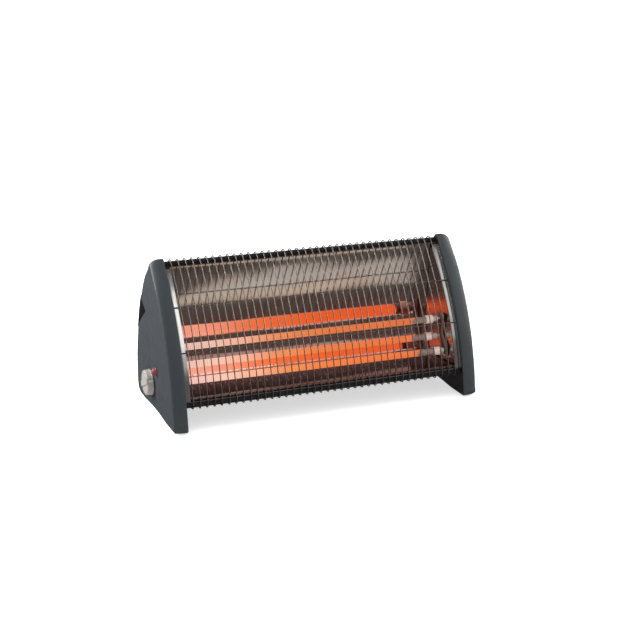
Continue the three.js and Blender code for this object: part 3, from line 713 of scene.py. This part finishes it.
card("side_panel", [(1.5, -0.9, 0.15), (1.5, 0.9, 0.15), (1.5, 0.9, 1.3), (1.5, -0.9, 1.3)], (0.92, 0.93, 0.92), (1.0, 1.0, 0.99), 4.5)

bpy.context.scene.view_settings.view_transform = "Standard"
bpy.context.scene.view_settings.look = "None"

# ------------------------------------------------------------------ end caps
OUTLINE = catmull(FRONT + REAR + BASE, 300, closed=True)
OUTLINE[:, 1] = np.maximum(OUTLINE[:, 1], 1.5)
OUTLINE[:, 0] = np.clip(OUTLINE[:, 0], 0.6, 218.5)
OUTLINE[:, 1] = np.minimum(OUTLINE[:, 1], 244.0)
if area(OUTLINE) < 0:
    OUTLINE = OUTLINE[::-1]
EDGE, CROWN = 4.0, 16.0


def cap_solid(name):
    """Outer skin with a rounded outer edge and a faintly crowned face, hollow inside."""
    rings = []
    inner = inset(OUTLINE, 2.5)
    c = np.array([118.0, 92.0])
    # inner floor and wall of the hollow, then the rim, then the outside
    for s in (0.25, 0.6, 0.9):
        rings.append([(-CAP_T + 2.7, *(c + (q - c) * s)) for q in inner])
    rings.append([(-CAP_T + 2.7, *q) for q in inner])
    rings.append([(-0.38, *q) for q in inner])
    # a flat lip beside the grille, wider than the wall
    front = np.clip((OUTLINE[:, 1] - 46) / 8, 0, 1) * np.clip((234 - OUTLINE[:, 1]) / 8, 0, 1) * (OUTLINE[:, 0] < 60 + 0.30 * (OUTLINE[:, 1] - 40))
    lip = inner + (inset(OUTLINE, 9.5) - inner) * front[:, None]
    rings.append([(-0.38, *q) for q in lip])
    rings.append([(-0.05, *q) for q in lip + (inner - lip) * 0.02])
    rings.append([(0.0, *q) for q in lip + (inset(OUTLINE, 1.8) - lip) * 0.05])
    rings.append([(0.0, *q) for q in inset(OUTLINE, 2.1)])
    rings.append([(0.0, *q) for q in inset(OUTLINE, 0.7)])
    rings.append([(-0.2, *q) for q in inset(OUTLINE, 0.2)])
    rings.append([(-0.7, *q) for q in OUTLINE])
    face = -CAP_T + 0.9
    rings.append([(face + CROWN + 1.5, *q) for q in OUTLINE])
    for k in range(9):
        a = math.pi / 2 * k / 8
        rings.append([(face + CROWN * (1 - math.sin(a)), *q) for q in inset(OUTLINE, EDGE * (1 - math.cos(a)))])
    last = inset(OUTLINE, EDGE)
    for s in (0.985, 0.95, 0.9, 0.8, 0.66, 0.5, 0.33, 0.16, 0.05):
        rings.append([(face - 0.85 * (1 - s * s) ** 0.8, *(c + (q - c) * s)) for q in last])
    # the crown slopes down towards the outer face
    top = []
    for ring in rings:
        q = []
        for x, y, z in ring:
            u = min(max((-x - 6.0) / 16.0, 0.0), 1.0)
            w = min(max((z - 196.0) / 46.0, 0.0), 1.0)
            q.append((x, y, z - 3.6 * u * u * w * w * (3 - 2 * w)))
        top.append(q)
    bm = bmesh.new()
    loft(bm, top)
    return plain(name, bm)


left = cap_solid("left_end_cap_shell")
right = mirror_x(left, "right_end_cap_shell")


def grip_cutter(name):
    bm = bmesh.new()
    pts = np.array(round_profile(GRIP + [GRIP[0]], 1.0, 2)[:-1])
    tip = [[144.9 + 1.6, 154.0 + 0.0], [145.6, 155.0]]
    g = np.array([[146.4, 153.9], [145.9, 154.7], [146.5, 155.3]] + GRIP[1:])
    slab(bm, g, -CAP_T - 8, -CAP_T + 14)
    return plain(name, bm)


def hole_cutter(name, y, z, r):
    bm = bmesh.new()
    lathe_x(bm, [[-CAP_T - 6, r], [-CAP_T + 8, r]], y, z, 40)
    return plain(name, bm)


cuts = [grip_cutter("c1"), hole_cutter("c2", KNOB_Y, KNOB_Z, 5.6), hole_cutter("c3", LAMP_Y, LAMP_Z, 4.5)]
bm = bmesh.new()
lathe = [[r_, z_] for r_, z_ in ((3.3, -4), (3.3, 12))]
rr = []
for r_, z_ in lathe:
    rr.append([(-11.5 + r_ * math.cos(a), 84 + r_ * math.sin(a), z_) for a in np.linspace(0, 2 * math.pi, 25)[:-1]])
loft(bm, rr)
cuts.append(plain("c4", bm))
for o in cuts:
    pass
# the cap solids are made about x = 0 at the cap's inner side, so they move out to their places here
def shift_mesh(o, dx):
    o.data.transform(Matrix.Translation((dx / 1000.0, 0, 0)))


boolean(left, cuts)
rc = grip_cutter("c5")
rcm = mirror_x(rc, "c6")
bpy.data.objects.remove(rc)
boolean(right, [rcm])
shift_mesh(left, -HALF)
shift_mesh(right, HALF)
for o, node in ((left, "left_end_cap"), (right, "right_end_cap")):
    finish_mesh(o, 28.0)
    o.data.materials.clear()
    o.data.materials.append(CAP.m)
    bevel(o, 0.45, 2, 40.0)
    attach(o, "heater")
    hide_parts(node)

# grip inserts and side plates: the CAD shapes, the grip inserts with softened edges
for n in ("left_grip_insert", "right_grip_insert"):
    o = assign(n, BLACKP)
    w = o.modifiers.new("weld", "WELD")
    w.merge_threshold = 0.00002
    bevel(o, 0.35, 2, 30.0)
for n in ("left_inner_plate", "right_inner_plate"):
    assign(n, BLACKS)

# ------------------------------------------------------------------ feet
for n in ("foot_front_left", "foot_rear_left", "foot_front_right", "foot_rear_right"):
    lo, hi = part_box(n)
    x0, x1 = lo.x * 1000 - SX, hi.x * 1000 - SX
    y0, y1 = lo.y * 1000 - SY, hi.y * 1000 - SY
    bm = bmesh.new()
    box(bm, x0, x1, y0, y1, 0.0, 1.2, 0.35)
    # shallow tread ribs on top of the pad's rim, inside its height
    for k in range(5):
        yc = y0 + (y1 - y0) * (k + 0.5) / 5
        box(bm, x0 + 2, x1 - 2, yc - 1.0, yc + 1.0, 0.0, 0.9, 0.2)
    o = new_object(n + "_pad", bm, RUBBER.m, body="heater")
    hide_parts(n)

# ------------------------------------------------------------------ front grille
GR = catmull(GRILLE + [[119.0, 239.8], [124.6, 239.9], [130.2, 235.8]], 90)
hook = catmull([[30, 34.2], [23, 34.2], [16.6, 34.5], [13.2, 36.2], [12.3, 39.0]], 14)
PATH = np.concatenate([hook[:-1], GR])
WR = 0.9
bm = bmesh.new()
rng = np.random.default_rng(4)
for i in range(1, 40):
    x = -HALF + 11.5 * i
    j = rng.normal(0, 0.12, 3)
    t = np.linspace(0, 1, len(PATH))
    xs = x + j[0] + j[1] * np.sin(math.pi * t) + j[2] * np.sin(2 * math.pi * t)
    wire(bm, [(a, q[0], q[1]) for a, q in zip(xs, PATH)], WR, 8)


def on_path(z):
    for a, b in zip(GR[:-1], GR[1:]):
        if a[1] <= z < b[1]:
            u = (z - a[1]) / (b[1] - a[1])
            d = (b - a) / np.linalg.norm(b - a)
            p = a + (b - a) * u
            return p[0] + d[1] * 1.6, p[1] - d[0] * 1.6
    return None


for z in (46, 117, 179, 232.5):
    y, zz = on_path(z)
    n = 60
    wire(bm, [(-HALF + 0.6 + (2 * HALF - 1.2) * k / n, y + 0.10 * math.sin(k * 0.31 + z), zz + 0.10 * math.sin(k * 0.23 + 2 * z)) for k in range(n + 1)], 0.9, 8)
grille = new_object("grille_wires", bm, WIRE.m, smooth=60, body="heater")
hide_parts("front_grille")

# ------------------------------------------------------------------ reflector
RL = catmull([[115.6, 230.6]] + REFL, 110)
RL = np.concatenate([RL, catmull([[18.2, 50.1], [17.6, 49.2], [17.45, 47.5], [17.4, 43.0]], 10)])
edge = HALF - 9.6
nx = 90
bm = bmesh.new()
inner, outer = [], []
back = side(RL, -0.9)
sgn = 1.0 if back[20][0] > RL[20][0] else -1.0
back = side(RL, -0.9 * sgn)
for k in range(nx + 1):
    x = -edge + 2 * edge * k / nx
    dents = np.array([noise.noise(Vector((x * 0.010, s * 0.035, 3.1))) * 0.16 for s in range(len(RL))])
    dents *= np.clip(np.minimum(np.arange(len(RL)), len(RL) - 1 - np.arange(len(RL))) / 8.0, 0, 1) * min(1.0, min(k, nx - k) / 3.0)
    off = np.stack([side(RL, 1)[:, 0] - RL[:, 0], side(RL, 1)[:, 1] - RL[:, 1]], 1) * dents[:, None]
    inner.append([bm.verts.new(P(x, *q)) for q in RL + off])
    outer.append([bm.verts.new(P(x, *q)) for q in back + off])
m_ = len(RL)
for k in range(nx):
    for i in range(m_ - 1):
        bm.faces.new((inner[k][i], inner[k][i + 1], inner[k + 1][i + 1], inner[k + 1][i]))
        bm.faces.new((outer[k][i], outer[k + 1][i], outer[k + 1][i + 1], outer[k][i + 1]))
    for i in (0, m_ - 1):
        bm.faces.new((inner[k][i], inner[k + 1][i], outer[k + 1][i], outer[k][i]))
for k in (0, nx):
    for i in range(m_ - 1):
        bm.faces.new((inner[k][i], outer[k][i], outer[k][i + 1], inner[k][i + 1]))
refl = new_object("reflector_skin", bm, REFLECTOR.m, smooth=50, body="heater")
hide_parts("reflector")

# reflector ends: a polished plate with a flat strip along the wires
FR = catmull([[13.4, 46.5]] + GRILLE[2:], 80)
FR = FR[FR[:, 1] < 232.5]


def reflector_end(name, s, holes):
    bm = bmesh.new()
    a, b = side(FR, -3.3), side(FR, -4.2)
    xs = [0.5, 0.9, 2.0, 4.8, 7.6, 9.2]
    lift = [2.6, 0.0, 0.12, 0.25, 0.12, 0.0]
    top, bot = [], []
    for x, l in zip(xs, lift):
        top.append([bm.verts.new(P(s * (HALF - x), *q)) for q in side(FR, -3.3 + l)])
        bot.append([bm.verts.new(P(s * (HALF - (x + 0.35 if l > 1 else x)), *q)) for q in side(FR, -4.2 + l)])
    m = len(FR)
    for k in range(len(xs) - 1):
        for i in range(m - 1):
            bm.faces.new((top[k][i], top[k][i + 1], top[k + 1][i + 1], top[k + 1][i]))
            bm.faces.new((bot[k][i], bot[k + 1][i], bot[k + 1][i + 1], bot[k][i + 1]))
        for i in (0, m - 1):
            bm.faces.new((top[k][i], top[k + 1][i], bot[k + 1][i], bot[k][i]))
    for k in (0, len(xs) - 1):
        for i in range(m - 1):
            bm.faces.new((top[k][i], bot[k][i], bot[k][i + 1], top[k][i + 1]))
    pf = side(FR, -3.9)
    pf = pf[(pf[:, 1] > 54.4) & (pf[:, 1] < 226)]
    rear = side(catmull(REFL, 60), -1.4)
    if rear[10][0] > catmull(REFL, 60)[10][0]:
        rear = side(catmull(REFL, 60), 1.4)
    rear = rear[(rear[:, 1] < 225.5) & (rear[:, 0] > 23)]
    plate = np.concatenate([pf, rear])
    # the plate flares: its rear edge stands further in than its front edge
    lean = lambda y, z: 0.15 * (16.0 + (y - 13.4) * 0.896 - (z - 46.5) * 0.444)
    rings = [[(s * (HALF - x - lean(y, z)), y, z) for y, z in (plate if area(plate) > 0 else plate[::-1])] for x in (7.3, 8.0)]
    loft(bm, rings)
    return bm


ends = {}
PLATE = metal("end_plate_sheet", (0.72, 0.64, 0.64), 0.20, spots=0.08)
for nm, s in (("left", -1), ("right", 1)):
    o = new_object(f"{nm}_end_sheet", reflector_end(nm, s, []), STRIP.m, smooth=40, body="heater")
    o.data.materials.append(PLATE.m)
    for f in o.data.polygons:
        if abs(f.normal.x) > 0.9 and abs(f.center.x * 1000 - SX) < HALF - 7.4 and f.area > 0.0009:
            f.material_index = 1
    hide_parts(f"{nm}_reflector_end")
    ends[nm] = o

# ------------------------------------------------------------------ tubes, coils, ceramics
for k, (y, z, dx) in enumerate(TUBES):
    n = k + 1
    xl, xr = -HALF, HALF
    xn = min(xr - 22 + dx, xr - 18.4)
    bm = bmesh.new()
    q0, q1 = xl + 0.6 + dx, xr - 36.6 + dx
    prof = [[q0, 4.3], [q0, 5.0], [q0 + 0.3, 5.2]]
    steps = 120
    for i in range(1, steps):
        prof.append([q0 + 0.3 + (q1 - q0 - 0.6) * i / steps, 5.2])
    prof += [[q1 - 0.3, 5.2], [q1, 5.0], [q1, 4.3]]
    lathe_x(bm, prof, y, z, 24, closed=True)
    o = new_object(f"quartz_tube_lit_{n}", bm, TUBE_MATS[k].m, smooth=50, body="heater")
    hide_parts(f"quartz_tube_{n}")
    # wound coil
    bm = bmesh.new()
    a, b = xl + 16, xr - 67.4 + dx * 0.5
    turns = 96
    pts = [(xl + 1.2 + dx, y, z), (xl + 9, y, z)]
    for i in range(turns * 8 + 1):
        t = i / (turns * 8)
        w = 2 * math.pi * turns * t
        pts.append((a + (b - a) * t, y + 1.9 * math.cos(w), z + 1.9 * math.sin(w)))
    pts += [(b + 5, y, z), (xr - 37.2 + dx, y, z)]
    wire(bm, pts, 0.38, 4)
    o = new_object(f"wound_coil_{n}", bm, COIL.m, smooth=60, body="heater")
    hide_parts(f"heating_coil_{n}")
    # ceramic ends
    for sd in ("left", "right"):
        bm = bmesh.new()
        if sd == "left":
            prof = [[xl - 17.5, 0.0], [xl - 17.5, 1.5], [xl - 14, 1.5], [xl - 14, 3.6], [xl - 13.4, 4.3], [xl - 10, 4.4], [xl - 10, 6.2], [xl - 9.4, 6.8], [xl - 3, 6.8], [xl - 2.6, 6.4], [xl - 1.6, 6.4],
                    [xl - 1.2, 6.8], [xl + 6.2, 6.8], [xl + 6.8, 6.3], [xl + 6.8, 5.6], [xl + 0.2, 5.6], [xl + 0.2, 0.0]]
        else:
            e0 = xr - 43 + dx
            prof = [[xr - 13.4, 0.0], [xr - 13.4, 1.5], [xn, 1.5], [xn, 3.9], [xn - 0.5, 4.4], [e0 + 12.2, 4.4], [e0 + 12.0, 6.2], [e0 + 11.4, 6.8], [e0 + 8.4, 6.8], [e0 + 8.0, 6.45], [e0 + 7.2, 6.45], [e0 + 6.8, 6.8],
                    [e0 + 0.7, 6.8], [e0, 6.2], [e0, 5.6], [e0 + 6.8, 5.6], [e0 + 6.8, 0.0]]
        lathe_x(bm, prof, y, z, 40)
        o = new_object(f"ceramic_end_{sd}_{n}", bm, CERAMIC.m, smooth=32, body="heater")
        o.data.materials.append(NECK.m)
        cut = (xn - 10.2 if sd == "right" else xl - 10.1)
        for f in o.data.polygons:
            cx = f.center.x * 1000 - SX
            if (sd == "right" and cx > (xr - 43 + dx) + 12.1) or (sd == "left" and cx < xl - 10.05):
                f.material_index = 1
        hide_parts(f"ceramic_{sd}_{n}")

for n in ("left_tube_bracket", "right_tube_bracket"):
    o = assign(n, SCALED)
    w = o.modifiers.new("weld", "WELD")
    w.merge_threshold = 0.00002
    bevel(o, 0.2, 1, 30.0)
assign("right_terminal_strip", BRASS)
for n in ("supply_lead_1", "supply_lead_2", "supply_lead_3", "return_lead"):
    assign(n, LEAD)
for n in ("rotary_switch_body", "tip_over_switch_body"):
    o = assign(n, SWITCH)
for n in ("terminal_block", "thermal_cutout"):
    assign(n, INSUL)
for n in ("switch_nut", "control_shaft", "tip_over_spring"):
    assign(n, STEEL)
for n in ("pilot_lamp_body", "tip_over_plunger"):
    assign(n, BLACKP)

# ------------------------------------------------------------------ housing
rear_line = side(np.array([[124.5, 238.2]] + REAR[:17]), -4.2)
if rear_line[8][0] > REAR[7][0]:
    rear_line = side(np.array([[124.5, 238.2]] + REAR[:17]), 4.2)
rl = [q for q in rear_line.tolist() if 36 < q[1] < 232]
HL = catmull([[119.2, 229.2], [119.2, 232.6], [119.25, 235.6], [120.6, 237.7], [123.6, 237.8], [127.5, 234.8]] + rl + [[214.2, 35.0]], 150)
bm = bmesh.new()
e2 = HALF - 0.6
in_l = side(HL, -1.0)
if in_l[80][0] > HL[80][0]:
    in_l = side(HL, 1.0)
loop = np.concatenate([HL, in_l[::-1]])
rings = [[(x, *q) for q in loop] for x in (-e2, -e2 + 0.3, e2 - 0.3, e2)]
vs = [[bm.verts.new(P(*q)) for q in r] for r in rings]
L = len(loop)
for a, b in zip(vs[:-1], vs[1:]):
    for i in range(L):
        j = (i + 1) % L
        bm.faces.new((a[i], a[j], b[j], b[i]))
h = len(HL)
for r in (vs[0], vs[-1]):
    for i in range(h - 1):
        bm.faces.new((r[i], r[i + 1], r[2 * h - 2 - i], r[2 * h - 1 - i]))
house = plain("rear_shell", bm)
cutters = []
bm = bmesh.new()
rla = np.array(rl)


def at(f):
    k = f * (len(rl) - 1)
    i = int(k)
    u = k - i
    a, b = rla[i], rla[min(i + 1, len(rl) - 1)]
    d = (b - a) / np.linalg.norm(b - a)
    return a + (b - a) * u, d


SLOTS = []
for f in (0.30, 0.42, 0.54):
    p, d = at(f)
    nn = np.array([-d[1], d[0]])
    for i in range(9):
        SLOTS.append((p, d, nn, -168 + i * 42))
for p, d, nn, xc in SLOTS:
    # rounded slot: outline in the (x, along) plane pushed through the sheet
    pts = []
    for a in np.linspace(-math.pi / 2, math.pi / 2, 9):
        pts.append((xc + 10.6 + 3.4 * math.cos(a), 3.4 * math.sin(a)))
    for a in np.linspace(math.pi / 2, 3 * math.pi / 2, 9):
        pts.append((xc - 10.6 + 3.4 * math.cos(a), 3.4 * math.sin(a)))
    loft(bm, [[(x, p[0] + d[0] * s + nn[0] * t, p[1] + d[1] * s + nn[1] * t) for x, s in pts] for t in (-6, 6)])
cutters.append(plain("c7", bm))
boolean(house, cutters)
finish_mesh(house, 30.0)
house.data.materials.clear()
house.data.materials.append(BLACKS.m)
bevel(house, 0.25, 2, 40.0)
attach(house, "heater")
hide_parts("rear_housing")

# pressed louvre hoods over the slots' upper edges
bm = bmesh.new()
for p, d, nn, xc in SLOTS:
    rings = []
    for a in np.linspace(0, math.pi * 0.55, 6):
        s = -3.9 + 3.0 * (1 - math.cos(a))
        t = 0.3 + 2.4 * math.sin(a)
        rings.append((s, t))
    for (s, t), inner_ in [((s, t), False) for s, t in rings]:
        pass
    up = [[(x, p[0] + d[0] * s + nn[0] * (t * math.sin(math.pi * u) ** 0.5), p[1] + d[1] * s + nn[1] * (t * math.sin(math.pi * u) ** 0.5)) for u, x in [(min(max(k / 12, 0.02), 0.98), xc - 13.6 + 27.2 * k / 12) for k in range(13)]] for s, t in rings]
    dn = [[(q[0], q[1] - nn[0] * 0.6, q[2] - nn[1] * 0.6) for q in r] for r in up]
    U = [[bm.verts.new(P(*q)) for q in r] for r in up]
    D = [[bm.verts.new(P(*q)) for q in r] for r in dn]
    R, C = len(U), 13
    for i in range(R - 1):
        for j in range(C - 1):
            bm.faces.new((U[i][j], U[i][j + 1], U[i + 1][j + 1], U[i + 1][j]))
            bm.faces.new((D[i][j], D[i + 1][j], D[i + 1][j + 1], D[i][j + 1]))
        for j in (0, C - 1):
            bm.faces.new((U[i][j], U[i + 1][j], D[i + 1][j], D[i][j]))
    for i in (0, R - 1):
        for j in range(C - 1):
            bm.faces.new((U[i][j], D[i][j], D[i][j + 1], U[i][j + 1]))
hoods = new_object("louvre_hoods", bm, BLACKS.m, smooth=50, body="heater")

o = assign("bottom_panel", BLACKS)
w = o.modifiers.new("weld", "WELD")
w.merge_threshold = 0.00002
bevel(o, 0.25, 2, 35.0)

# cord gland
bm = bmesh.new()
prof = round_profile([[4.3, 206.6], [6.0, 206.6], [6.0, 214.9], [8.6, 214.9], [8.6, 217.0], [5.4, 217.5], [4.3, 217.4]], 0.5, 3)
rings = []
for r_, y_ in prof + [prof[0]]:
    rings.append([(-196 + r_ * math.cos(a), y_, 46 + r_ * math.sin(a)) for a in np.linspace(0, 2 * math.pi, 41)[:-1]])
loft(bm, rings, cap0=False, cap1=False)
o = new_object("cord_bush", bm, BLACKP.m, smooth=40, body="heater")
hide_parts("cord_gland")

# housing screws: pan heads with a crossed recess
for k in range(1, 5):
    nme = f"housing_screw_{k}"
    o = assign(nme, STEEL)
    w = o.modifiers.new("weld", "WELD")
    w.merge_threshold = 0.00002
    bevel(o, 0.3, 2, 25.0)

# ------------------------------------------------------------------ control knob
FACE = -HALF - CAP_T
bm = bmesh.new()
t_ = FACE - KNOB_H
DRUM_R = KNOB_R + 0.8
prof = round_profile([[FACE - 0.6, 3.4], [FACE - 0.6, DRUM_R - 0.15], [FACE - 2.2, DRUM_R], [FACE - 2.7, DRUM_R - 0.7], [t_ + 2.6, DRUM_R - 1.1], [t_ + 1.7, DRUM_R - 2.4], [t_ + 1.9, DRUM_R - 6.0], [t_ + 2.1, 0.0]], 0.8, 3)
lathe_x(bm, prof, KNOB_Y, KNOB_Z, 96)
knob = plain("knob_body", bm)
bm = bmesh.new()
hw = 4.2
r = DRUM_R
TURN = math.radians(22.0)
ca, sa = math.cos(TURN), math.sin(TURN)


def turned(u, v):
    """Knob face coordinates: u towards the pointer, v across it."""
    return [KNOB_Y - u * ca - v * sa, KNOB_Z + u * sa - v * ca]


bar = [turned(-r + 3.5, -hw - 0.4), turned(r + 0.55, -hw + 0.5), turned(r + 0.55, hw - 0.5), turned(-r + 3.5, hw + 0.4)]
slab(bm, bar, t_ + 0.02, FACE - 1.2, 0.7)
barob = plain("c8", bm)
boolean(knob, [barob], "UNION")
finish_mesh(knob, 30.0)
knob.data.materials.clear()
knob.data.materials.append(KNOBM.m)
bevel(knob, 0.5, 3, 32.0)
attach(knob, "knob")
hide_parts("control_knob")
# pointer mark let into the bar's front end
MARK = moulded("knob_mark", (0.38, 0.43, 0.38), 0.4, grain=0.05, vary=0.03)
bm = bmesh.new()
slab(bm, [turned(r + 0.1, -1.6), turned(r + 0.75, -1.5), turned(r + 0.75, 1.5), turned(r + 0.1, 1.6)], t_ + 4.0, FACE - 1.8, 0.12)
mark = new_object("knob_pointer", bm, MARK.m, body="knob")

# ------------------------------------------------------------------ pilot lamp lens
bm = bmesh.new()
prof = [[FACE + 4.0, 0.0], [FACE + 4.0, 4.1], [FACE - 0.35, 4.1], [FACE - 0.35, 6.3], [FACE - 0.6, 6.6], [FACE - 1.6, 6.6], [FACE - 1.9, 6.2]]
for k in range(1, 13):
    a = math.pi / 2 * k / 12
    prof.append([FACE - 1.9 - 6.3 * math.sin(a), max(0.0, 6.0 * math.cos(a))])
lathe_x(bm, prof, LAMP_Y, LAMP_Z, 48)
lens = new_object("lamp_dome", bm, LAMP.m, smooth=40, body="heater")
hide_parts("pilot_lamp_lens")
